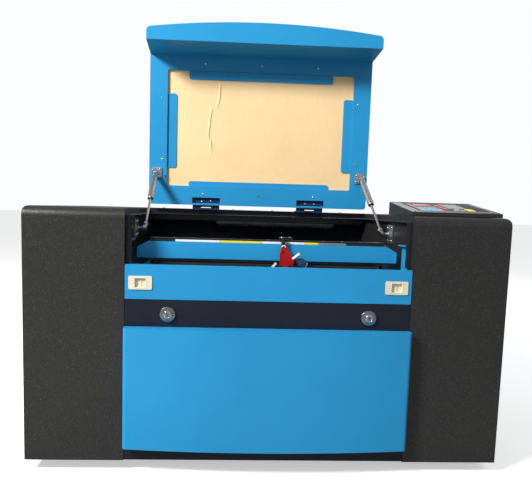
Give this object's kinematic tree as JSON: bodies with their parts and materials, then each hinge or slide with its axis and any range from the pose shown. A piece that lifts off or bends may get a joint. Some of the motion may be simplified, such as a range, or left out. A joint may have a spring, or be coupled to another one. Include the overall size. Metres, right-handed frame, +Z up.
{
  "type": "desktop laser cutter",
  "caption": "Benchtop CO2 laser engraver: black steel cabinet, blue bowed lid standing open on gas struts, front flap, lower door, gantry with laser head, lift bed and glass tube.",
  "frame": {"origin": "on the floor under the middle of the machine with the lid open: centre of the bounding box in X and Y, at the feet", "axes": "+X to the operator's right, +Y to the rear, +Z up; the operator stands at -Y"},
  "size_m": [1, 0.713, 1.0068],
  "materials": {
    "black_powdercoat": "gloss powder coat with fine orange peel",
    "band_powdercoat": "satin powder coat",
    "blue_powdercoat": "semi-gloss powder coat",
    "black_steel": "matt black finish",
    "zinc_steel": "bright zinc plate",
    "steel_polished": "polished",
    "strut_grey": "satin grey",
    "aluminium": "satin anodised",
    "red_anodised": "red anodised",
    "foot_rubber": "matt",
    "cream_plastic": "moulded, fine texture",
    "black_plastic": "moulded",
    "masked_acrylic": "kraft masking paper on acrylic",
    "tube_glass": "clear borosilicate",
    "panel_gloss": "gloss overlay"
  },
  "bodies": {
    "cabinet": {"base_pan": "black_powdercoat", "foot_front_left": "foot_rubber", "foot_front_right": "foot_rubber", "foot_rear_left": "foot_rubber", "foot_rear_right": "foot_rubber", "left_housing": "black_powdercoat", "right_housing": "black_powdercoat", "front_panel": "band_powdercoat", "seat_frame": "band_powdercoat", "rear_cover": "black_powdercoat", "rear_panel": "black_powdercoat", "bay_back_wall": "black_powdercoat", "led_bar": "zinc_steel", "hinge_deck_left": "black_steel", "hinge_deck_right": "black_steel", "strut_bracket_left": "zinc_steel", "strut_bracket_right": "zinc_steel", "y_rail_left": "blue_powdercoat", "y_rail_right": "blue_powdercoat", "y_motor": "black_steel", "lift_base": "zinc_steel", "laser_tube": "tube_glass", "tube_shelf": "zinc_steel", "mirror_one": "black_steel", "fan_housing": "black_plastic", "laser_supply": "aluminium", "controller": "aluminium", "power_inlet": "black_plastic", "control_housing": "black_powdercoat", "control_face": "panel_gloss"},
    "lid": {"lid_shell": "blue_powdercoat", "window_pane": "masked_acrylic", "hinge_lid_left": "black_steel", "hinge_lid_right": "black_steel", "lid_bracket_left": "zinc_steel", "lid_bracket_right": "zinc_steel"},
    "strut_tube_l": {"strut_tube_left": "strut_grey"},
    "strut_rod_l": {"strut_rod_left": "steel_polished"},
    "strut_tube_r": {"strut_tube_right": "strut_grey"},
    "strut_rod_r": {"strut_rod_right": "steel_polished"},
    "flap": {"flap_panel": "blue_powdercoat", "latch_bezel_left": "cream_plastic", "latch_bezel_right": "cream_plastic"},
    "latch_l": {"latch_slider_left": "cream_plastic"},
    "latch_r": {"latch_slider_right": "cream_plastic"},
    "door": {"lower_door": "blue_powdercoat"},
    "cam_l": {"cam_lock_left": "steel_polished"},
    "cam_r": {"cam_lock_right": "steel_polished"},
    "gantry": {"gantry_beam": "blue_powdercoat", "x_rail": "black_steel", "x_belt_guard": "black_steel", "mirror_two": "black_steel", "x_motor": "black_steel"},
    "head": {"head_carriage": "black_steel", "head_plate": "red_anodised", "laser_nozzle": "aluminium"},
    "drive_shaft": {"y_drive_shaft": "steel_polished"},
    "bed": {"bed_frame": "black_steel", "honeycomb": "aluminium"},
    "rotor": {"fan_rotor": "black_plastic"}
  },
  "joints": [
    {"name": "lid_hinge", "type": "hinge", "parent": "cabinet", "child": "lid", "pos_m": [0, 0.0985, 0.55], "axis": [1, 0, 0], "range_deg": [0, 90]},
    {"name": "strut_pivot_left", "type": "hinge", "parent": "lid", "child": "strut_tube_l", "pos_m": [-0.275, 0.0745, 0.643], "axis": [1, 0, 0], "range_deg": [-114.5, 0]},
    {"name": "strut_slide_left", "type": "slide", "parent": "strut_tube_l", "child": "strut_rod_l", "axis": [0, -0.8471, -0.5314], "range_m": [-0.1075, 0]},
    {"name": "strut_pivot_right", "type": "hinge", "parent": "lid", "child": "strut_tube_r", "pos_m": [0.275, 0.0745, 0.643], "axis": [1, 0, 0], "range_deg": [-114.5, 0]},
    {"name": "strut_slide_right", "type": "slide", "parent": "strut_tube_r", "child": "strut_rod_r", "axis": [0, -0.8471, -0.5314], "range_m": [-0.1075, 0]},
    {"name": "flap_hinge", "type": "hinge", "parent": "cabinet", "child": "flap", "pos_m": [0, -0.3145, 0.367], "axis": [1, 0, 0], "range_deg": [0, 90]},
    {"name": "latch_slide_left", "type": "slide", "parent": "flap", "child": "latch_l", "axis": [-1, 0, 0], "range_m": [-0.004, 0.006]},
    {"name": "latch_slide_right", "type": "slide", "parent": "flap", "child": "latch_r", "axis": [1, 0, 0], "range_m": [-0.004, 0.006]},
    {"name": "door_hinge", "type": "hinge", "parent": "cabinet", "child": "door", "pos_m": [0, -0.3163, 0.058], "axis": [1, 0, 0], "range_deg": [0, 90]},
    {"name": "cam_turn_left", "type": "hinge", "parent": "cabinet", "child": "cam_l", "pos_m": [-0.208, -0.3155, 0.336], "axis": [0, 1, 0], "range_deg": [0, 90]},
    {"name": "cam_turn_right", "type": "hinge", "parent": "cabinet", "child": "cam_r", "pos_m": [0.208, -0.3155, 0.336], "axis": [0, -1, 0], "range_deg": [0, 90]},
    {"name": "gantry_travel", "type": "slide", "parent": "cabinet", "child": "gantry", "axis": [0, 1, 0], "range_m": [0, 0.3]},
    {"name": "head_travel", "type": "slide", "parent": "gantry", "child": "head", "axis": [1, 0, 0], "range_m": [-0.26, 0.17]},
    {"name": "drive_shaft_turn", "type": "hinge", "parent": "cabinet", "child": "drive_shaft", "pos_m": [0, 0.1165, 0.396], "axis": [1, 0, 0], "continuous": true},
    {"name": "bed_lift", "type": "slide", "parent": "cabinet", "child": "bed", "axis": [0, 0, 1], "range_m": [-0.2, 0]},
    {"name": "fan_spin", "type": "hinge", "parent": "cabinet", "child": "rotor", "pos_m": [0, 0.3205, 0.265], "axis": [0, 1, 0], "continuous": true}
  ],
  "couplings": [
    {"joint": "strut_pivot_left", "follows": "lid_hinge", "ratio": -1.2687},
    {"joint": "strut_pivot_right", "follows": "lid_hinge", "ratio": -1.2687},
    {"joint": "strut_slide_left", "follows": "lid_hinge", "m_per_rad": -0.068275},
    {"joint": "strut_slide_right", "follows": "lid_hinge", "m_per_rad": -0.068275},
    {"joint": "drive_shaft_turn", "follows": "gantry_travel", "rad_per_m": -111.11}
  ]
}
